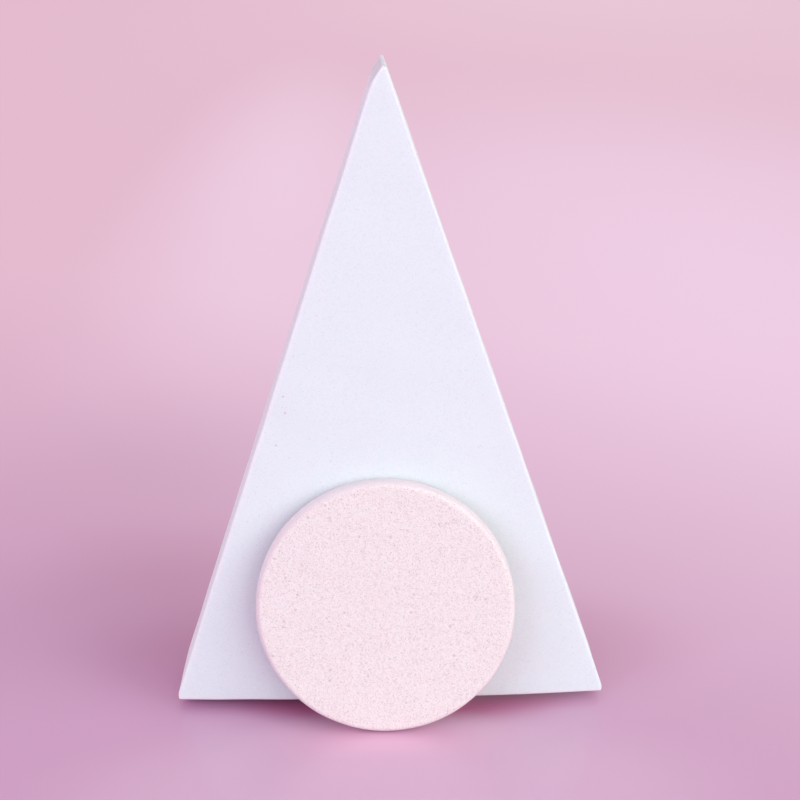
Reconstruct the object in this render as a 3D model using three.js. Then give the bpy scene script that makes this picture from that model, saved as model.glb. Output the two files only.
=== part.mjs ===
// Two make-up sponges of soft foam, in millimetres with +Z up. A white triangular sponge stands on its
// short cut, and a pink round one stands on its rim in front of it and leans back on its face.
// The origin is the middle of the triangular sponge's foot, with the viewer on the -Y side.
import * as THREE from 'three';

// Triangular sponge: a slab of foam with three straight cuts.
const footWidth = 87.6; // between the points where the foot meets the two long cuts
const peakHeight = 129.6; // from the ground to the point where the long cuts would meet
const peakShift = -1.2; // sideways, from the middle of the foot to that point
const slabDepth = 19.2; // from the front corners to the back
const frontCrown = 1.3; // how far the front swells past its corners, along its middle
const cutRounding = 0.4; // round every edge where a cut meets the front or the back
const footRise = 2; // how far the foot's front edge stands clear of the ground
const footSlope = 7; // depth over which the foot comes down to the ground behind that edge
const footCornerRadius = 2.5; // as seen from the front
const peakWidth = 0.4; // of the narrow flat on the peak
const leftBendRadius = 14; // the left cut bends over into the peak
const leftBendTurn = THREE.MathUtils.degToRad(40); // it faces up by this where it ends
const rightBendRadius = 0.5; // the right cut is only rounded off there
const rightBendTurn = THREE.MathUtils.degToRad(80);
const slabColour = 0xf0f0f9;

// Round sponge: a punched disc with soft edges.
const discDiameter = 50;
const rimThickness = 4.4; // across the rim
const rimRounding = 1.1; // round both edges of the rim
const faceCrown = 0.3; // how far the middle of each face swells past its rim
const discColour = 0xf6e2ea;

// Where the round sponge stands.
const discShift = -1.2; // sideways, from the middle of the foot to its centre
const discLean = THREE.MathUtils.degToRad(7.7); // its top leans back by this
const discTurn = THREE.MathUtils.degToRad(-2); // its face turns to the viewer's left by this
const seatGap = 0.3; // between its top edge and the triangular sponge

// How fine the soft surfaces are.
const roundingSteps = 3;
const cornerSteps = 5;
const edgeSteps = 4;
const peakSteps = 6;
const slabRows = 14;
const slabColumns = 10;
const edgeWidthShare = 0.25; // the most of the slab's width that one edge may take, at the peak
const discSegments = 48;
const discRings = 5;

// A rounded edge draws its face in. This gives by how much, at a distance from the edge.
function drawnIn(distance, radius) {
  if (distance >= radius) return 0;
  return radius - Math.sqrt(radius ** 2 - (radius - distance) ** 2);
}

// The outline of the slab from the front is three lines joined by arcs. Each long cut is one side of
// it: a line between the arc that rounds the foot's corner and the arc that bends it over at the peak.
function longCut(side, bendRadius, bendTurn) {
  const foot = new THREE.Vector2((side * footWidth) / 2, 0);
  const along = new THREE.Vector2(peakShift, peakHeight).sub(foot).normalize();
  const outward = new THREE.Vector2(side * along.y, -side * along.x);
  const lineAt = (height) => foot.x + (along.x / along.y) * height;
  const cornerX = foot.x - (footCornerRadius * (1 + outward.y)) / outward.x;
  const corner = new THREE.Vector2(cornerX, footCornerRadius);
  const cornerEnd = corner.y + footCornerRadius * outward.y;
  const bendEnd = new THREE.Vector2(side * Math.cos(bendTurn), Math.sin(bendTurn));
  const bendRise = bendRadius * (bendEnd.y - outward.y);
  const bendLoss = (bendRadius * (1 - outward.dot(bendEnd))) / along.y;
  return { side, outward, lineAt, corner, cornerEnd, bendRadius, bendRise, bendLoss };
}

const leftCut = longCut(-1, leftBendRadius, leftBendTurn);
const rightCut = longCut(1, rightBendRadius, rightBendTurn);

// The two lines meet at the peak height. The peak's top is where the width between them, less what
// both bends take off it, is down to the peak's width.
const peakReach = peakWidth + leftCut.bendLoss + rightCut.bendLoss;
const peakTop = peakHeight * (1 - peakReach / footWidth);
[leftCut, rightCut].forEach((cut) => {
  const touch = new THREE.Vector2(cut.lineAt(peakTop - cut.bendRise), peakTop - cut.bendRise);
  cut.bendStart = touch.y;
  cut.bend = touch.addScaledVector(cut.outward, -cut.bendRadius);
});

function arcReach(centre, radius, height, side) {
  return centre.x + side * Math.sqrt(radius ** 2 - (height - centre.y) ** 2);
}

// How far a long cut reaches sideways, at a height.
function cutReach(cut, height) {
  if (height < cut.cornerEnd) return arcReach(cut.corner, footCornerRadius, height, cut.side);
  if (height > cut.bendStart) return arcReach(cut.bend, cut.bendRadius, height, cut.side);
  return cut.lineAt(height);
}

// The foot isn't cut square: behind its front edge it slopes down to the ground. The edge where the
// slope meets the front is an arc that touches both.
const slopeTurn = Math.atan2(footSlope, footRise);
const edgeTop = footRise + cutRounding * Math.tan(slopeTurn / 2);
const edgeBottom = edgeTop - cutRounding * Math.sin(slopeTurn);

// How far the sloping foot draws the front in, at a height.
function footInset(height) {
  if (height < edgeBottom) return footSlope * (1 - height / footRise);
  return drawnIn(height - edgeTop + cutRounding, cutRounding);
}

// Heights of the plan sections: close together round the foot's corners, its front edge and the peak.
function slabHeights() {
  const heights = [];
  for (let i = 0; i < cornerSteps; i += 1) {
    const angle = (i / cornerSteps) * (Math.PI / 2);
    heights.push(footCornerRadius * (1 - Math.cos(angle)));
  }
  heights.push(rightCut.cornerEnd);
  for (let i = 0; i < edgeSteps; i += 1) {
    const angle = (1 - i / edgeSteps) * slopeTurn;
    heights.push(edgeTop - cutRounding * Math.sin(angle));
  }
  for (let i = 0; i <= slabRows; i += 1) {
    heights.push(THREE.MathUtils.lerp(edgeTop, leftCut.bendStart, i / slabRows));
  }
  for (let i = 1; i <= peakSteps; i += 1) {
    const angle = (i / peakSteps) * (Math.PI / 2);
    heights.push(THREE.MathUtils.lerp(leftCut.bendStart, peakTop, Math.sin(angle)));
  }
  return heights.sort((a, b) => a - b);
}

// Columns of one plan section, left to right: where each stands, and how far the rounded edge at the
// section's end draws the front and the back in there.
function slabColumnsAt(height) {
  const left = cutReach(leftCut, height);
  const right = cutReach(rightCut, height);
  const rounding = Math.min(cutRounding, (right - left) * edgeWidthShare);
  const edge = [];
  for (let i = 0; i < roundingSteps; i += 1) {
    const angle = (i / roundingSteps) * (Math.PI / 2);
    const distance = rounding * (1 - Math.cos(angle));
    edge.push({ distance, inset: drawnIn(distance, rounding) });
  }
  const columns = edge.map(({ distance, inset }) => ({ x: left + distance, inset }));
  for (let i = 0; i <= slabColumns; i += 1) {
    const x = THREE.MathUtils.lerp(left + rounding, right - rounding, i / slabColumns);
    columns.push({ x, inset: 0 });
  }
  edge.reverse().forEach(({ distance, inset }) => columns.push({ x: right - distance, inset }));
  return columns;
}

// The slab is a loft of its plan sections. Each section runs along the crowned front from left to
// right and back along the flat back, and the first and last are closed by flat caps.
function slabGeometry() {
  const heights = slabHeights();
  const positions = [];
  heights.forEach((z) => {
    const top = drawnIn(peakTop - z, cutRounding);
    const front = -slabDepth / 2 + footInset(z) + top;
    const back = slabDepth / 2 - drawnIn(z, cutRounding) - top;
    const columns = slabColumnsAt(z);
    columns.forEach(({ x, inset }) => {
      const crown = frontCrown * (1 - ((2 * x) / footWidth) ** 2);
      positions.push(x, front - crown + inset, z);
    });
    columns.reverse().forEach(({ x, inset }) => {
      positions.push(x, back - inset, z);
    });
  });
  const around = positions.length / 3 / heights.length;
  const index = [];
  const quad = (a, b, c, d) => index.push(a, b, c, a, c, d);
  for (let row = 0; row + 1 < heights.length; row += 1) {
    for (let i = 0; i < around; i += 1) {
      const here = row * around + i;
      const next = row * around + ((i + 1) % around);
      quad(here, next, next + around, here + around);
    }
  }
  const top = (heights.length - 1) * around;
  for (let i = 0; i + 1 < around / 2; i += 1) {
    const back = around - 1 - i;
    quad(i, back, back - 1, i + 1);
    quad(top + i, top + i + 1, top + back - 1, top + back);
  }
  const geometry = new THREE.BufferGeometry();
  geometry.setAttribute('position', new THREE.Float32BufferAttribute(positions, 3));
  geometry.setIndex(index);
  geometry.computeVertexNormals();
  return geometry;
}

// Half a section of the disc, from the middle of its front round the rim to the middle of its back.
// Both faces are low crowns, and the rim is a short straight wall between two arcs.
function discGeometry() {
  const faceRadius = discDiameter / 2 - rimRounding;
  const arcCentre = rimThickness / 2 - rimRounding;
  const front = [];
  for (let i = 0; i < discRings; i += 1) {
    const share = i / discRings;
    front.push(new THREE.Vector2(faceRadius * share, rimThickness / 2 + faceCrown * (1 - share ** 2)));
  }
  for (let i = 0; i <= cornerSteps; i += 1) {
    const angle = (1 - i / cornerSteps) * (Math.PI / 2);
    const x = faceRadius + rimRounding * Math.cos(angle);
    front.push(new THREE.Vector2(x, arcCentre + rimRounding * Math.sin(angle)));
  }
  const back = front.map(({ x, y }) => new THREE.Vector2(x, y));
  front.forEach((point) => point.setY(-point.y));
  return new THREE.LatheGeometry([...front, ...back.reverse()], discSegments);
}

const triangularSponge = new THREE.Mesh(
  slabGeometry(),
  new THREE.MeshStandardMaterial({ color: slabColour, roughness: 0.95, metalness: 0 }),
);
triangularSponge.name = 'triangular_sponge';

const roundSponge = new THREE.Mesh(
  discGeometry(),
  new THREE.MeshStandardMaterial({ color: discColour, roughness: 0.95, metalness: 0 }),
);
roundSponge.name = 'round_sponge';

// The round sponge stands on the lowest point of its rim. The rounded rim is a ball carried round a
// circle, so its lowest and rearmost points follow from that circle, the lean and the turn.
const rimCircle = discDiameter / 2 - rimRounding;
const rimOffset = rimThickness / 2 - rimRounding;
const standHeight = rimCircle * Math.cos(discLean) + rimOffset * Math.sin(discLean) + rimRounding;
const circleBack = rimCircle * Math.hypot(Math.sin(discTurn), Math.cos(discTurn) * Math.sin(discLean));
const offsetBack = rimOffset * Math.cos(discLean) * Math.cos(discTurn);
const leanDepth = circleBack + offsetBack + rimRounding;

const leaningSeat = new THREE.Group();
leaningSeat.position.set(discShift, -slabDepth / 2 - frontCrown - seatGap - leanDepth, standHeight);
leaningSeat.rotation.set(-discLean, 0, discTurn, 'ZYX');
leaningSeat.add(roundSponge);

const sponges = new THREE.Group();
sponges.add(triangularSponge, leaningSeat);

export default sponges;
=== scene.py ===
"""Two foam make-up sponges: a white triangular one that stands on its short cut, and a pink round one
that leans on its face. Sizes are in metres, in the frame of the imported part: +Z up, -Y to the viewer."""

import itertools

import bpy
import numpy as np
from mathutils import Matrix, Vector


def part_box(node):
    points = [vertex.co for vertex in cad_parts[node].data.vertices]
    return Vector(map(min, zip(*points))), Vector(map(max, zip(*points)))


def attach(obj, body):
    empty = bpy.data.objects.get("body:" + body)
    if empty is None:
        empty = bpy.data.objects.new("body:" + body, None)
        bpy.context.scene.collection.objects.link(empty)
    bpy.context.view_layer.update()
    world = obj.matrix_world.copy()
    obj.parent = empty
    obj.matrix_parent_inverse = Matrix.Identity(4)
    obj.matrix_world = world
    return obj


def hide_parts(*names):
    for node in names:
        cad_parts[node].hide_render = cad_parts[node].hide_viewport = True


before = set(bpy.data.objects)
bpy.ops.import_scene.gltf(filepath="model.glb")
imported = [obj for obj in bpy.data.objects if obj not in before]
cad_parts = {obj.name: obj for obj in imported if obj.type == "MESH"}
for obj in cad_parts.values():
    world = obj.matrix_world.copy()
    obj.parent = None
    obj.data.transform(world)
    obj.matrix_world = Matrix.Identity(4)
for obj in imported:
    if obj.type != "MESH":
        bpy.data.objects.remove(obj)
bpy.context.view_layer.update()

# Triangular sponge.
# One block of dense, fine-celled white latex foam, sliced from a slab with straight blade cuts. The
# blade leaves its edges a little soft and its faces slightly uneven, and opens a few cells as pinholes.
# The pinholes are dark spots of painted shade, a pale painted highlight runs along the front's left and
# lower edges, and painted shade darkens the peak where it faces up.
MM = 0.001
FOOT_WIDTH = 87.6 * MM  # between the points where the foot meets the two long cuts
PEAK_HEIGHT = 129.6 * MM  # from the ground to the point where the long cuts would meet
PEAK_SHIFT = -1.2 * MM  # sideways, from the middle of the foot to that point
SLAB_DEPTH = 19.2 * MM  # from the front corners to the back
FRONT_CROWN = 1.3 * MM  # how far the front swells past its corners, along its middle
CUT_ROUNDING = 0.4 * MM
FOOT_RISE = 1.75 * MM  # how far the foot's front edge stands clear of the ground
FOOT_SLOPE = 7 * MM  # depth over which the foot comes down to the ground behind that edge
CORNER_RADIUS = 2.5 * MM  # of the foot's corners, seen from the front
PEAK_WIDTH = 0.4 * MM  # of the narrow flat on the peak
LEFT_BEND_RADIUS = 14 * MM  # the left cut bends over into the peak
LEFT_BEND_TURN = np.radians(40)  # it faces up by this where it ends
RIGHT_BEND_RADIUS = 0.5 * MM  # the right cut is only rounded off there
RIGHT_BEND_TURN = np.radians(80)
EDGE_WIDTH_SHARE = 0.25  # the most of the slab's width that one edge may take, at the peak
BACK_TAPER = 0.35 * MM  # how far the left cut runs in towards the back, as the blade wasn't held square
SLAB_SPACING = 0.6 * MM  # between neighbouring points of its surface
SLOPE_ROWS = 24  # rows of quads up the sloping foot
EDGE_ROWS = 6  # round each edge
PEAK_ROWS = 12  # up the bend at the peak
SLAB_WAVER = 0.16 * MM  # how far its hand-cut faces wander in and out, in all
SLAB_WAVER_LENGTH = 17 * MM
SLAB_WAVER_CLEAR = 2 * MM  # height at which they wander fully, above the even foot
HIGHLIGHT_WIDTH = 0.8 * MM  # along its left and lower edges, over which a pale painted highlight fades out
PINHOLES = np.array([[-20.1, 65.8], [-19.8, 62.5], [-21.7, 56.0]]) * MM  # x and z on the front
PINHOLE_RADIUS = 0.3 * MM
PINHOLE_BOTTOM = 0.4  # share of that radius over which its painted shade is full
PEAK_SHADE_UPWARD = (0.2, 0.5)  # how far up the peak faces where its painted shade begins, and where it is full
EDGE_CELLS = 0.4  # share of the cells' painted shade and grain that still shows on an edge


def block_skin(across, through, up):
    """The outside of a block of across x through x up cells: the whole-number places of its points,
    and its quads. Each of the six sides is a grid of quads that face outwards, and points where the
    sides meet are shared."""
    counts = np.array([across, through, up])
    sides = []
    for axis in range(3):
        first, second = (axis + 1) % 3, (axis + 2) % 3
        grid = np.indices((counts[first], counts[second])).reshape(2, -1)
        ring = np.array([[0, 0], [1, 0], [1, 1], [0, 1]])
        for end in (0, 1):
            corners = np.zeros((grid.shape[1], 4, 3), int)
            turned = ring if end else ring[::-1]
            corners[..., first] = grid[0][:, None] + turned[:, 0]
            corners[..., second] = grid[1][:, None] + turned[:, 1]
            corners[..., axis] = end * counts[axis]
            sides.append(corners)
    corners = np.concatenate(sides)
    keys = np.ravel_multi_index(tuple(np.moveaxis(corners, -1, 0)), counts + 1)
    kept, quads = np.unique(keys, return_inverse=True)
    places = np.array(np.unravel_index(kept, counts + 1))
    return places, quads.reshape(-1, 4)


def drawn_in(distance, radius):
    """How far a rounded edge draws its face in: radius - sqrt(radius^2 - (radius - distance)^2)."""
    left = np.clip(radius - distance, 0, radius)
    return radius - np.sqrt(radius**2 - left**2)


def cut_way(side):
    """The way one long cut runs, from the foot up to the point where both would meet."""
    along = np.array([PEAK_SHIFT - side * FOOT_WIDTH / 2, PEAK_HEIGHT])
    return along / np.linalg.norm(along)


def bend_loss(side, radius, turn):
    """How much narrower a bend leaves the slab where it ends than the straight cut would:
    radius * (1 - cos(turn beyond the cut's own lean)) / cos(lean)."""
    lean = np.arcsin(-side * cut_way(side)[0])
    return radius * (1 - np.cos(turn - lean)) / np.cos(lean)


peak_reach = PEAK_WIDTH + bend_loss(-1, LEFT_BEND_RADIUS, LEFT_BEND_TURN)
peak_reach += bend_loss(1, RIGHT_BEND_RADIUS, RIGHT_BEND_TURN)
peak_top = PEAK_HEIGHT * (1 - peak_reach / FOOT_WIDTH)


def long_cut(side, bend_radius, bend_turn):
    """How far one long cut reaches sideways, as a function of the height: a line, which an arc round
    the foot's corner begins and an arc over to the peak ends. Each arc touches the line, and stands at
    x = centre + side * sqrt(r^2 - rise^2). The height where the upper arc begins comes with it."""
    foot = side * FOOT_WIDTH / 2
    along = cut_way(side)
    outward = np.array([side * along[1], -side * along[0]])
    corner_x = foot - CORNER_RADIUS * (1 + outward[1]) / outward[0]
    bend_start = peak_top - bend_radius * (np.sin(bend_turn) - outward[1])
    bend_x = foot + along[0] / along[1] * bend_start - bend_radius * outward[0]
    bend_z = bend_start - bend_radius * outward[1]

    def reach(height):
        corner_rise = np.clip(height - CORNER_RADIUS, -CORNER_RADIUS, CORNER_RADIUS)
        corner = corner_x + side * np.sqrt(CORNER_RADIUS**2 - corner_rise**2)
        bend_rise = np.clip(height - bend_z, -bend_radius, bend_radius)
        bend = bend_x + side * np.sqrt(bend_radius**2 - bend_rise**2)
        line = foot + along[0] / along[1] * height
        line = np.where(height < CORNER_RADIUS * (1 + outward[1]), corner, line)
        return np.where(height > bend_start, bend, line)

    return reach, bend_start


left_cut, left_bend_start = long_cut(-1, LEFT_BEND_RADIUS, LEFT_BEND_TURN)
right_cut, _ = long_cut(1, RIGHT_BEND_RADIUS, RIGHT_BEND_TURN)

slope_turn = np.arctan2(FOOT_SLOPE, FOOT_RISE)
edge_top = FOOT_RISE + CUT_ROUNDING * np.tan(slope_turn / 2)
edge_bottom = edge_top - CUT_ROUNDING * np.sin(slope_turn)


def slab_heights():
    """Heights of the slab's rows: close together up the sloping foot and round its front edge, evenly
    spaced up the cuts, and ever closer towards the peak's top."""
    slope = edge_bottom * (1 - np.cos(np.linspace(0, np.pi / 2, SLOPE_ROWS, endpoint=False)))
    edge = edge_top - CUT_ROUNDING * np.sin(np.linspace(slope_turn, 0, EDGE_ROWS, endpoint=False))
    rows = round((left_bend_start - edge_top) / SLAB_SPACING)
    cuts = np.linspace(edge_top, left_bend_start, rows, endpoint=False)
    rise = np.sin(np.linspace(0, np.pi / 2, PEAK_ROWS + 1))
    return np.concatenate([slope, edge, cuts, left_bend_start + (peak_top - left_bend_start) * rise])


def slab_points(places, counts, heights):
    """Points of the slab. A point's row gives its height z, and x runs between the two long cuts there.
    Its share of the depth runs from the front, which is -depth/2 less a crown of
    crown * (1 - (2x/width)^2), to the flat back. Near every edge both are drawn in as an arc, and the
    front's lowest rows follow the sloping foot. Towards the back all points move to the right, by the
    taper at the left cut and by nothing at the right one."""
    column, layer, row = places
    z = heights[row]
    left, right = left_cut(z), right_cut(z)
    rounding = np.minimum(CUT_ROUNDING, (right - left) * EDGE_WIDTH_SHARE)
    steps_in = np.minimum(column, counts[0] - column)
    turn = np.clip(steps_in / EDGE_ROWS, 0, 1) * np.pi / 2
    edge_x = rounding * (1 - np.cos(turn))
    edge_y = rounding * (1 - np.sin(turn))
    share = np.clip((column - EDGE_ROWS) / (counts[0] - 2 * EDGE_ROWS), 0, 1)
    inner = left + rounding + share * (right - left - 2 * rounding)
    x = np.where(column < EDGE_ROWS, left + edge_x, inner)
    x = np.where(counts[0] - column < EDGE_ROWS, right - edge_x, x)
    top = drawn_in(peak_top - z, CUT_ROUNDING)
    slope = FOOT_SLOPE * (1 - z / FOOT_RISE)
    foot = np.where(z < edge_bottom, slope, drawn_in(z - edge_top + CUT_ROUNDING, CUT_ROUNDING))
    crown = FRONT_CROWN * (1 - (2 * x / FOOT_WIDTH) ** 2)
    front = -SLAB_DEPTH / 2 - crown + edge_y + foot + top
    back = SLAB_DEPTH / 2 - edge_y - drawn_in(z, CUT_ROUNDING) - top
    y = front + layer / counts[1] * (back - front)
    taper = np.minimum(BACK_TAPER, (right - left) * EDGE_WIDTH_SHARE) * layer / counts[1]
    return np.stack([x + taper * (right - x) / (right - left), y, z], axis=1)


def outward_at(points, quads):
    """The way the surface faces at each point: the sum of the cross products of its quads' diagonals,
    made one unit long."""
    a, b, c, d = (points[quads[:, i]] for i in range(4))
    facing = np.cross(c - a, d - b)
    total = np.zeros_like(points)
    for corner, axis in itertools.product(range(4), range(3)):
        total[:, axis] += np.bincount(quads[:, corner], facing[:, axis], len(points))
    return total / np.linalg.norm(total, axis=1, keepdims=True)


WAVES = 12
WAVE_LENGTHS = (0.6, 1.6)  # the shortest and the longest, as shares of the length asked for


def waver(points, length, seed):
    """Slow unevenness from -0.5 to 0.5: the mean of sine waves of random direction, each about the
    given length, held between those ends."""
    rng = np.random.default_rng(seed)
    ways = rng.normal(size=(3, WAVES))
    ways *= 2 * np.pi / (length * rng.uniform(*WAVE_LENGTHS, WAVES) * np.linalg.norm(ways, axis=0))
    waves = np.sin(points @ ways + rng.uniform(0, 2 * np.pi, WAVES))
    return np.clip(waves.sum(axis=1) / WAVES, -0.5, 0.5)


def open_cells(points, outward, spacing, radii, seed, share=1):
    """How deep the open cells of cut foam go at each point. One round bubble sits at a random place in
    each cube of a grid of that spacing. Where v, from its centre to the point, is shorter than its
    radius r, the surface goes in to its far wall, by v.n + sqrt((v.n)^2 - v.v + r^2)."""
    low = points.min(axis=0) - spacing
    cubes = np.floor((points - low) / spacing).astype(int)
    rng = np.random.default_rng(seed)
    size = cubes.max(axis=0) + 2
    offsets = rng.random((*size, 3))
    radius = rng.uniform(*radii, size) * (rng.random(size) < share)
    deepest = np.zeros(len(points))
    for step in itertools.product((-1, 0, 1), repeat=3):
        near = tuple((cubes + step).T)
        away = points - low - (np.stack(near, axis=1) + offsets[near]) * spacing
        beyond = radius[near] ** 2 - (away**2).sum(axis=1)
        along = (away * outward).sum(axis=1)
        depth = along + np.sqrt(along**2 + np.maximum(beyond, 0))
        deepest = np.maximum(deepest, np.where(beyond > 0, depth, 0))
    return deepest


def foam_piece(name, points, quads, material, **attributes):
    """Puts points and quads into a smooth mesh of its own at the origin. Each attribute gives a value
    from 0 to 1 at each point: "cells" how far painted shade darkens it there, and "edge" how far it takes
    its edge's painted colour."""
    mesh = bpy.data.meshes.new(name)
    mesh.vertices.add(len(points))
    mesh.vertices.foreach_set("co", points.astype(np.float32).ravel())
    mesh.loops.add(quads.size)
    mesh.loops.foreach_set("vertex_index", quads.astype(np.int32).ravel())
    mesh.polygons.add(len(quads))
    mesh.polygons.foreach_set("loop_start", np.arange(0, quads.size, 4, dtype=np.int32))
    for attribute, values in attributes.items():
        layer = mesh.attributes.new(attribute, "FLOAT", "POINT")
        layer.data.foreach_set("value", values.astype(np.float32))
    mesh.update(calc_edges=True)
    mesh.shade_smooth()
    mesh.materials.append(material)
    piece = bpy.data.objects.new(name, mesh)
    bpy.context.scene.collection.objects.link(piece)
    return piece


def linked(tree, kind, inputs=None, **settings):
    """Adds a node of that kind. Each input is a value, or an output of another node to link."""
    node = tree.nodes.new(kind)
    for setting, value in settings.items():
        setattr(node, setting, value)
    for name, value in (inputs or {}).items():
        if isinstance(value, bpy.types.NodeSocket):
            tree.links.new(value, node.inputs[name])
        else:
            node.inputs[name].default_value = value
    return node


PIT_SIZES = (0.25, 0.6)  # radius of the smallest and the largest open cell, against their spacing
PIT_BOTTOM = 0.05  # within this share of the spacing a cell is at its deepest
GRAIN_NOISE = (0.45, 0.75)  # the noise at which the grain begins to show, and where it fully does


def foam_group():
    """Fine cells of cut foam, too small for the mesh. Out comes how high the surface stands, and, from 0
    to 1,
    how far the colour darkens: painted shade in the pits of the open cells, and a grain of random tone."""
    group = bpy.data.node_groups.new("Fine foam cells", "ShaderNodeTree")
    socket = group.interface.new_socket
    socket("Place", in_out="INPUT", socket_type="NodeSocketVector")
    socket("Cells per metre", in_out="INPUT", socket_type="NodeSocketFloat")
    socket("Open share", in_out="INPUT", socket_type="NodeSocketFloat")
    socket("Grain", in_out="INPUT", socket_type="NodeSocketFloat")
    socket("Height", in_out="OUTPUT", socket_type="NodeSocketFloat")
    socket("Shade", in_out="OUTPUT", socket_type="NodeSocketFloat")
    given = group.nodes.new("NodeGroupInput").outputs
    bubbles = linked(
        group,
        "ShaderNodeTexVoronoi",
        {"Vector": given["Place"], "Scale": given["Cells per metre"], "Randomness": 1.0},
    )
    chance = linked(group, "ShaderNodeSeparateColor", {"Color": bubbles.outputs["Color"]})
    is_open = linked(
        group,
        "ShaderNodeMath",
        {0: chance.outputs["Red"], 1: given["Open share"]},
        operation="LESS_THAN",
    )
    size = linked(
        group,
        "ShaderNodeMapRange",
        {"Value": chance.outputs["Green"], "To Min": PIT_SIZES[0], "To Max": PIT_SIZES[1]},
    )
    depth = linked(
        group,
        "ShaderNodeMapRange",
        {
            "Value": bubbles.outputs["Distance"],
            "From Min": PIT_BOTTOM,
            "From Max": size.outputs["Result"],
            "To Min": 1.0,
            "To Max": 0.0,
        },
        interpolation_type="SMOOTHSTEP",
    )
    pit = linked(
        group,
        "ShaderNodeMath",
        {0: depth.outputs["Result"], 1: is_open.outputs["Value"]},
        operation="MULTIPLY",
    )
    grain = linked(
        group,
        "ShaderNodeTexNoise",
        {"Vector": given["Place"], "Scale": given["Cells per metre"], "Detail": 2.0},
    )
    shade = linked(
        group,
        "ShaderNodeMapRange",
        {
            "Value": grain.outputs["Fac"],
            "From Min": GRAIN_NOISE[0],
            "From Max": GRAIN_NOISE[1],
            "To Max": given["Grain"],
        },
    )
    # The larger of the pits' painted shade and the grain's random tone.
    shaded = linked(
        group,
        "ShaderNodeMath",
        {0: pit.outputs["Value"], 1: shade.outputs["Result"]},
        operation="MAXIMUM",
    )
    height = linked(
        group, "ShaderNodeMath", {0: 1.0, 1: shaded.outputs["Value"]}, operation="SUBTRACT"
    )
    result = group.nodes.new("NodeGroupOutput").inputs
    group.links.new(height.outputs["Value"], result["Height"])
    group.links.new(shaded.outputs["Value"], result["Shade"])
    return group


FINE_CELLS = foam_group()


def foam_material(name, face, cell, edge, per_metre, open_share, grain, relief, pinholes=()):
    """Matt cut foam. Its colour goes from the face's towards the edge's as far as the mesh's attribute
    "edge" says, and then towards the cell colour as far as the fine cells and the attribute "cells" say,
    but less so on an edge. The edge colour is a painted highlight on the triangle and a band of painted
    shade on the disc. The cell colour is painted shade in the pits, at the pinholes and where the
    attribute "cells" says, and the tone of a random grain. The fine cells stand in relief by that many
    metres. Each pinhole is the place of one larger open cell, painted dark."""
    material = bpy.data.materials.new(name)
    material.use_nodes = True
    tree = material.node_tree
    tree.nodes.clear()
    place = linked(tree, "ShaderNodeTexCoord")
    fine = linked(tree, "ShaderNodeGroup", node_tree=FINE_CELLS)
    tree.links.new(place.outputs["Object"], fine.inputs["Place"])
    fine.inputs["Cells per metre"].default_value = per_metre
    fine.inputs["Open share"].default_value = open_share
    fine.inputs["Grain"].default_value = grain
    # The attribute "cells" carries painted shade.
    opened = linked(tree, "ShaderNodeAttribute", attribute_name="cells")
    shade = linked(
        tree,
        "ShaderNodeMath",
        {0: fine.outputs["Shade"], 1: opened.outputs["Fac"]},
        operation="MAXIMUM",
    )
    # Each pinhole is a spot of painted shade.
    for pinhole in pinholes:
        away = linked(
            tree,
            "ShaderNodeVectorMath",
            {0: place.outputs["Object"], 1: tuple(pinhole)},
            operation="DISTANCE",
        )
        hole = linked(
            tree,
            "ShaderNodeMapRange",
            {
                "Value": away.outputs["Value"],
                "From Min": PINHOLE_RADIUS,
                "From Max": PINHOLE_BOTTOM * PINHOLE_RADIUS,
            },
        )
        shade = linked(
            tree,
            "ShaderNodeMath",
            {0: shade.outputs["Value"], 1: hole.outputs["Result"]},
            operation="MAXIMUM",
        )
    # The attribute "edge" carries, on the triangle, a painted highlight, and on the disc a band of painted
    # shade.
    at_edge = linked(tree, "ShaderNodeAttribute", attribute_name="edge")
    solid = linked(tree, "ShaderNodeMix", data_type="RGBA")
    tree.links.new(at_edge.outputs["Fac"], solid.inputs["Factor"])
    solid.inputs["A"].default_value = (*face, 1)
    solid.inputs["B"].default_value = (*edge, 1)
    inside = linked(
        tree,
        "ShaderNodeMapRange",
        {"Value": at_edge.outputs["Fac"], "To Min": 1.0, "To Max": EDGE_CELLS},
    )
    shown = linked(
        tree,
        "ShaderNodeMath",
        {0: shade.outputs["Value"], 1: inside.outputs["Result"]},
        operation="MULTIPLY",
    )
    colour = linked(tree, "ShaderNodeMix", data_type="RGBA")
    tree.links.new(shown.outputs["Value"], colour.inputs["Factor"])
    tree.links.new(solid.outputs["Result"], colour.inputs["A"])
    colour.inputs["B"].default_value = (*cell, 1)
    bump = linked(tree, "ShaderNodeBump", {"Height": fine.outputs["Height"], "Distance": relief})
    shader = linked(
        tree,
        "ShaderNodeBsdfPrincipled",
        {
            "Base Color": colour.outputs["Result"],
            "Roughness": 0.95,
            "Specular IOR Level": 0.15,
            "Subsurface Weight": 0.6,
            "Subsurface Radius": (1.0, 0.8, 0.85),
            "Subsurface Scale": 0.8 * MM,
            "Normal": bump.outputs["Normal"],
        },
    )
    linked(tree, "ShaderNodeOutputMaterial", {"Surface": shader.outputs["BSDF"]})
    return material


slab_rows = slab_heights()
slab_counts = (round(FOOT_WIDTH / SLAB_SPACING), round(SLAB_DEPTH / SLAB_SPACING), len(slab_rows) - 1)
slab_places, slab_quads = block_skin(*slab_counts)
slab = slab_points(slab_places, slab_counts, slab_rows)
slab_outward = outward_at(slab, slab_quads)
off_ground = np.clip(slab[:, 2] / SLAB_WAVER_CLEAR, 0, 1)
slab_unevenness = SLAB_WAVER * waver(slab, SLAB_WAVER_LENGTH, seed=11) * off_ground
slab_surface = slab - slab_outward * slab_unevenness[:, None]
from_edge = np.minimum(slab[:, 0] - left_cut(slab[:, 2]), slab[:, 2] - edge_top)  # left or lower
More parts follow.
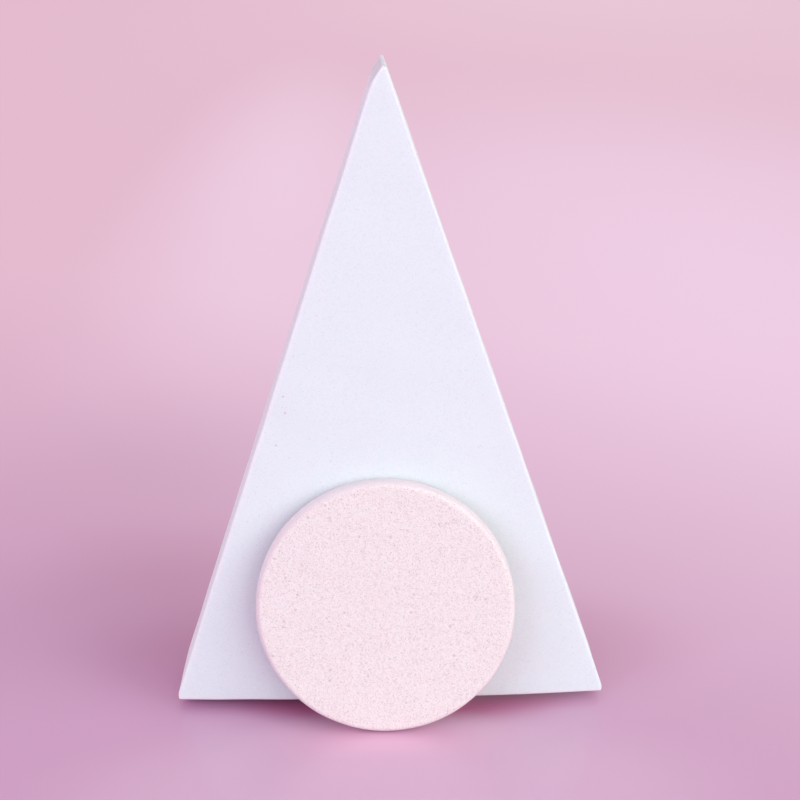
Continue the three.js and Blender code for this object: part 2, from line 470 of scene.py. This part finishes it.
# A pale pink painted highlight along the front's left and lower edges.
slab_edge_highlight = np.clip(1 - from_edge / HIGHLIGHT_WIDTH, 0, 1) * np.abs(slab_outward[:, 1])
# Painted shade where the peak faces up.
peak_painted_shade = np.clip((slab_outward[:, 2] - PEAK_SHADE_UPWARD[0]) / (PEAK_SHADE_UPWARD[1] - PEAK_SHADE_UPWARD[0]), 0, 1)
pinhole_front = -SLAB_DEPTH / 2 - FRONT_CROWN * (1 - (2 * PINHOLES[:, 0] / FOOT_WIDTH) ** 2)
pinholes = np.stack([PINHOLES[:, 0], pinhole_front, PINHOLES[:, 1]], axis=1)
white_foam = foam_material(
    "White latex foam",
    face=(0.865, 0.87, 0.90),
    # the cells' colour: painted shade in the pits, at the pinholes and on the peak, and the grain's tone
    cell=(0.72, 0.65, 0.71),
    # the edge's colour, a pale pink painted highlight
    edge=(0.95, 0.87, 0.92),
    per_metre=3000,
    open_share=0.05,
    grain=0.25,
    relief=0.015 * MM,
    pinholes=pinholes,
)
triangular_sponge = foam_piece(
    "triangular_foam_sponge",
    slab_surface,
    slab_quads,
    white_foam,
    cells=peak_painted_shade,
    edge=slab_edge_highlight,
)
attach(triangular_sponge, "triangular_sponge")
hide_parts("triangular_sponge")

# Round sponge.
# A disc punched from a sheet of soft pink foam with larger open cells, so its face is finely pitted. The
# punch squeezes the foam, and its rim comes out round. A band of painted shade runs round its face,
# widest at the upper left, which turns away from the lamps, and painted shade darkens its pits. It
# stands on the rim and leans on the other.
DISC_DIAMETER = 50 * MM
RIM_THICKNESS = 4.4 * MM  # across the rim
RIM_ROUNDING = 1.1 * MM
SHADE_BAND_PLACE = np.radians(155)  # where the band of painted shade round its face is widest, at its upper left
SHADE_BAND_MOST = 1.1 * MM  # its width there
SHADE_BAND_LEAST = 0.4 * MM  # and on the far side
FACE_CROWN = 0.3 * MM  # how far the middle of each face swells past its rim
DISC_LEAN = np.radians(7.7)  # its top leans back by this
DISC_TURN = np.radians(-2)  # its face turns to the viewer's left by this
DISC_CELLS = 300  # quads across a face
RIM_LAYERS = 12  # quads across the straight part of the rim
ROUNDING_RINGS = 12  # rings of quads round each edge of the rim
DISC_WAVER = 0.12 * MM  # how far its soft surface wanders in and out, in all
DISC_WAVER_LENGTH = 9 * MM
COARSE_CELLS = {"spacing": 0.9 * MM, "radii": (0.14 * MM, 0.28 * MM), "share": 0.14}
COARSE_DEPTH = 0.12 * MM  # the most that a coarse one goes in
SMALL_CELLS = {"spacing": 0.42 * MM, "radii": (0.08 * MM, 0.2 * MM)}
SMALL_DEPTH = 0.03 * MM
DARK_DEPTH = 0.25 * MM  # at which a cell would show its full painted shade


def disc_points(places, counts):
    """Points of the disc about its middle, with its faces towards -Y and +Y. A square of side 2 becomes
    a circle ring by ring: (a, b) goes to the radius max(|a|, |b|) at the turn pi/4 * b/a, or a quarter
    turn less pi/4 * a/b. The outer rings go round the rim's arc, and the inner ones swell into a
    crown of crown * (1 - (r/face radius)^2)."""
    column, layer, row = places
    a, b = 2 * column / counts[0] - 1, 2 * row / counts[2] - 1
    wide = np.abs(a) >= np.abs(b)
    longer = np.where(wide, a, b)
    shorter = np.where(wide, b, a)
    ratio = np.divide(shorter, longer, out=np.zeros_like(a), where=longer != 0)
    turn = np.where(wide, np.pi / 4 * ratio, np.pi / 2 - np.pi / 4 * ratio)
    sign = np.sign(longer)
    rings = counts[0] / 2
    rings_in = rings * (1 - np.abs(longer))
    arc = np.clip(rings_in / ROUNDING_RINGS, 0, 1) * np.pi / 2
    face_radius = DISC_DIAMETER / 2 - RIM_ROUNDING
    inner = face_radius * (rings - rings_in) / (rings - ROUNDING_RINGS)
    radius = np.where(rings_in > ROUNDING_RINGS, inner, face_radius + RIM_ROUNDING * np.cos(arc))
    crown = FACE_CROWN * np.clip(1 - (radius / face_radius) ** 2, 0, 1)
    half = RIM_THICKNESS / 2 - RIM_ROUNDING + RIM_ROUNDING * np.sin(arc) + crown
    y = (2 * layer / counts[1] - 1) * half
    return np.stack([sign * radius * np.cos(turn), y, sign * radius * np.sin(turn)], axis=1)


disc_counts = (DISC_CELLS, RIM_LAYERS, DISC_CELLS)
disc_places, disc_quads = block_skin(*disc_counts)
upright = disc_points(disc_places, disc_counts)
leaning = Matrix.Rotation(DISC_TURN, 3, "Z") @ Matrix.Rotation(-DISC_LEAN, 3, "X")
disc_centre = np.mean(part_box("round_sponge"), axis=0)
disc = upright @ np.array(leaning).T + disc_centre
disc_outward = outward_at(disc, disc_quads)
coarse = open_cells(disc, disc_outward, seed=21, **COARSE_CELLS)
small = open_cells(disc, disc_outward, seed=22, **SMALL_CELLS)
from_axis = np.hypot(upright[:, 0], upright[:, 2])
# A band of painted shade round the face, widest at its upper left.
towards_band = np.cos(np.arctan2(upright[:, 2], upright[:, 0]) - SHADE_BAND_PLACE)
band_width = SHADE_BAND_LEAST + (SHADE_BAND_MOST - SHADE_BAND_LEAST) * np.clip(towards_band, 0, 1)
# 1 over the outer half of the band, and down to 0 where it ends.
disc_shade_band = np.clip(2 * ((from_axis - DISC_DIAMETER / 2) / band_width + 1), 0, 1)
disc_cells = np.maximum(np.minimum(coarse, COARSE_DEPTH), np.minimum(small, SMALL_DEPTH)) * (1 - disc_shade_band)
disc_unevenness = DISC_WAVER * waver(disc, DISC_WAVER_LENGTH, seed=23) + disc_cells
disc_surface = disc - disc_outward * disc_unevenness[:, None]
pink_foam = foam_material(
    "Pink open-celled foam",
    face=(0.985, 0.825, 0.82),
    # the cells' colour: painted shade in the pits, and the grain's tone
    cell=(0.60, 0.40, 0.42),
    # the edge's colour, the band's painted shade
    edge=(0.84, 0.70, 0.735),
    per_metre=3600,
    open_share=0.3,
    grain=0.5,
    relief=0.012 * MM,
)
round_sponge = foam_piece(
    "round_foam_sponge",
    disc_surface,
    disc_quads,
    pink_foam,
    # painted shade in the pits, darker the deeper they go
    cells=np.clip(disc_cells / DARK_DEPTH, 0, 1),
    edge=disc_shade_band,
)
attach(round_sponge, "round_sponge")
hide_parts("round_sponge")

# Floor.
# A wide sheet of smooth pink card, laid flat and running back out of sight. Painted shadows deepen its
# colour below, round and behind the sponges, and painted light thrown back by the sponges makes it paler
# just in front of them. From there backwards a light of its own makes it ever paler, most of all in three
# spots.
FLOOR_REACH = 8.0  # each way from the sponges
FLOOR_DROP = 0.05 * MM  # so that it stays clear of the foot
PALE_FROM = -26 * MM  # where the card begins to turn paler, measured back from the sponges
PALE_AT = 307 * MM  # where it is all pale
PALE_LEAN = 0.6  # how much a step to the right counts as one backwards
PALE_POWER = 1.5  # above 1 it turns paler sooner
PALE_COLOUR = (0.775, 0.495, 0.625)
POOLS = [  # the middle and the reach of the three spots where it is palest, and their colours
    ((160 * MM, 360 * MM, 0), (330 * MM, 900 * MM, 1), (0.86, 0.62, 0.79)),
    ((-40 * MM, 600 * MM, 0), (100 * MM, 800 * MM, 1), (0.85, 0.61, 0.76)),
    ((400 * MM, 2200 * MM, 0), (900 * MM, 2400 * MM, 1), (0.81, 0.57, 0.67)),
]
FLOOR_COLOUR = (0.655, 0.345, 0.535)
# Painted shadows and painted light on the card: the two spots in front are painted light thrown back by
# the sponges, the disc's face most of all, and the rest are painted shadows.
PAINTED_SHADOWS_AND_LIGHT = [  # each spot's middle, its reach, how much of that it fills evenly, and its colour
    ((0, -44 * MM, 0), (75 * MM, 36 * MM, 1), 0.5, (0.72, 0.425, 0.60)),  # in front, paler
    ((-50 * MM, 150 * MM, 0), (80 * MM, 110 * MM, 1), 0, (0.48, 0.22, 0.385)),  # far left, deeper
    ((-42 * MM, 58 * MM, 0), (60 * MM, 55 * MM, 1), 0, (0.50, 0.21, 0.37)),  # behind the left side
    ((0, 17 * MM, 0), (80 * MM, 42 * MM, 1), 0.3, (0.47, 0.165, 0.315)),  # round the sponges
    ((3 * MM, -4 * MM, 0), (41 * MM, 19 * MM, 1), 0.5, (0.425, 0.065, 0.20)),  # below their edges
    ((0, -22 * MM, 0), (34 * MM, 11 * MM, 1), 0.2, (0.82, 0.46, 0.64)),  # where the disc's face shines
]


def seen_directly(tree):
    """1 where the camera, a mirror or a clear piece looks at the surface, and 0 where it lights
    something else."""
    path = linked(tree, "ShaderNodeLightPath")
    seen = linked(
        tree,
        "ShaderNodeMath",
        {0: path.outputs["Is Camera Ray"], 1: path.outputs["Is Glossy Ray"]},
        operation="MAXIMUM",
    )
    seen_through = linked(
        tree,
        "ShaderNodeMath",
        {0: seen.outputs["Value"], 1: path.outputs["Is Transmission Ray"]},
        operation="MAXIMUM",
    )
    return seen_through.outputs["Value"]


floor_corners = FLOOR_REACH * np.array([[-1, -1], [1, -1], [1, 1], [-1, 1]])
floor_mesh = bpy.data.meshes.new("Floor")
floor_mesh.from_pydata([(x, y, -FLOOR_DROP) for x, y in floor_corners], [], [(0, 1, 2, 3)])
card = bpy.data.materials.new("Pink card")
card.use_nodes = True
card_tree = card.node_tree
card_shader = card_tree.nodes["Principled BSDF"]
card_shader.inputs["Roughness"].default_value = 0.3
card_shader.inputs["Specular IOR Level"].default_value = 0.8
on_card = linked(card_tree, "ShaderNodeTexCoord").outputs["Object"]


def spot(middle, reach, even):
    """How near the card is to a spot's middle: 1 over the even part of its reach, then smoothly down to
    0 at its oval rim."""
    from_middle = linked(
        card_tree,
        "ShaderNodeMapping",
        {"Vector": on_card, "Location": middle, "Scale": reach},
        vector_type="TEXTURE",
    )
    near = {"Vector": from_middle.outputs["Vector"]}
    nearness = linked(card_tree, "ShaderNodeTexGradient", near, gradient_type="SPHERICAL")
    sizes = {"Value": nearness.outputs["Fac"], "From Max": 1 - even}
    smooth = linked(card_tree, "ShaderNodeMapRange", sizes, interpolation_type="SMOOTHSTEP")
    return smooth.outputs["Result"]


def tinted(share, plain, other):
    """The plain colour, turned towards the other one by a share. Plain may come from another node."""
    mix = linked(card_tree, "ShaderNodeMix", data_type="RGBA")
    card_tree.links.new(share, mix.inputs["Factor"])
    if isinstance(plain, bpy.types.NodeSocket):
        card_tree.links.new(plain, mix.inputs["A"])
    else:
        mix.inputs["A"].default_value = (*plain, 1)
    mix.inputs["B"].default_value = (*other, 1)
    return mix.outputs["Result"]


# The painted shadows and painted light are laid over the card's own colour.
card_colour = FLOOR_COLOUR
for middle, reach, even, colour in PAINTED_SHADOWS_AND_LIGHT:
    card_colour = tinted(spot(middle, reach, even), card_colour, colour)
card_tree.links.new(card_colour, card_shader.inputs["Base Color"])
across = linked(card_tree, "ShaderNodeSeparateXYZ", {"Vector": on_card})
back = linked(
    card_tree,
    "ShaderNodeMath",
    {0: across.outputs["X"], 1: PALE_LEAN, 2: across.outputs["Y"]},
    operation="MULTIPLY_ADD",
)
short_of = linked(
    card_tree,
    "ShaderNodeMapRange",
    {"Value": back.outputs["Value"], "From Min": PALE_AT, "From Max": PALE_FROM},
)
darker = linked(
    card_tree, "ShaderNodeMath", {0: short_of.outputs["Result"], 1: PALE_POWER}, operation="POWER"
)
paler = linked(card_tree, "ShaderNodeMath", {0: 1.0, 1: darker.outputs["Value"]}, operation="SUBTRACT")
pale_share = linked(
    card_tree,
    "ShaderNodeMath",
    {0: paler.outputs["Value"], 1: seen_directly(card_tree)},
    operation="MULTIPLY",
)
pale = PALE_COLOUR
for middle, reach, colour in POOLS:
    pale = tinted(spot(middle, reach, 0), pale, colour)
pale_card = linked(card_tree, "ShaderNodeEmission", {"Color": pale, "Strength": 1.0})
card_look = linked(card_tree, "ShaderNodeMixShader", {0: pale_share.outputs["Value"]})
card_tree.links.new(card_shader.outputs["BSDF"], card_look.inputs[1])
card_tree.links.new(pale_card.outputs["Emission"], card_look.inputs[2])
card_output = card_tree.nodes["Material Output"]
card_tree.links.new(card_look.outputs["Shader"], card_output.inputs["Surface"])
floor_mesh.materials.append(card)
floor = bpy.data.objects.new("Floor", floor_mesh)
bpy.context.scene.collection.objects.link(floor)

# Light.
# Broad soft lamps in front, at both sides and behind, each with a tint of its own, and an even pale
# surround. What is seen past the floor, directly or in its shine, is pink.
SURROUND_COLOUR = (0.935, 0.965, 1)
SURROUND_STRENGTH = 0.61
LAMPS = {  # each one's place, the side of its square, its power in watts and its tint
    "Front": ((1.26, -2.18, 0.73), 1.6, 21.5, (0.77, 1.0, 0.92)),
    "Right": ((2.14, -1.00, 1.15), 1.6, 25.0, (0.905, 1.0, 0.90)),
    "Left front": ((-1.52, -1.80, 1.15), 1.6, 20.5, (0.63, 0.785, 1.0)),
    "Left": ((-2.50, 0.22, 0.73), 1.6, 11.2, (1.0, 0.58, 0.62)),
    "Back": ((0.6, 2.60, 0.61), 1.8, 13.0, (0.88, 0.95, 1.0)),
}
AIM = Vector((0, 0, 0.05))  # the point that all of them face
for lamp_name, (lamp_place, lamp_side, lamp_power, lamp_tint) in LAMPS.items():
    light = bpy.data.lights.new(lamp_name, "AREA")
    light.size = lamp_side
    light.energy = lamp_power
    light.color = lamp_tint
    lamp = bpy.data.objects.new(lamp_name, light)
    lamp.location = lamp_place
    lamp.visible_glossy = False  # so that the smooth card shows no bright patches
    lamp.rotation_euler = (AIM - lamp.location).to_track_quat("-Z", "Y").to_euler()
    bpy.context.scene.collection.objects.link(lamp)

world = bpy.data.worlds.new("Surround")
bpy.context.scene.world = world
world.use_nodes = True
sky = world.node_tree
sky.nodes.clear()
even_light = {"Color": (*SURROUND_COLOUR, 1), "Strength": SURROUND_STRENGTH}
surround = linked(sky, "ShaderNodeBackground", even_light)
backdrop = linked(sky, "ShaderNodeBackground", {"Color": (*PALE_COLOUR, 1), "Strength": 1.0})
either = linked(sky, "ShaderNodeMixShader", {0: seen_directly(sky)})
sky.links.new(surround.outputs["Background"], either.inputs[1])
sky.links.new(backdrop.outputs["Background"], either.inputs[2])
linked(sky, "ShaderNodeOutputWorld", {"Surface": either.outputs["Shader"]})

# Camera.
# It stands in front, looks down by 18 degrees and is turned 2 degrees to the right.
CAMERA_PLACE = (-8.09 * MM, -295.82 * MM, 157.39 * MM)
CAMERA_LENS = 71.31  # millimetres, on a sensor 36 millimetres wide
CAMERA_DOWN = np.radians(17.98)
CAMERA_RIGHT = np.radians(2.02)
CAMERA_ROLL = np.radians(-0.21)
eye = bpy.data.cameras.new("Camera")
eye.lens = CAMERA_LENS
eye.sensor_width = 36
camera = bpy.data.objects.new("Camera", eye)
camera.matrix_world = (
    Matrix.Translation(CAMERA_PLACE)
    @ Matrix.Rotation(-CAMERA_RIGHT, 4, "Z")
    @ Matrix.Rotation(np.pi / 2 - CAMERA_DOWN, 4, "X")
    @ Matrix.Rotation(CAMERA_ROLL, 4, "Z")
)
bpy.context.scene.collection.objects.link(camera)
bpy.context.scene.camera = camera
bpy.context.scene.view_settings.view_transform = "Standard"
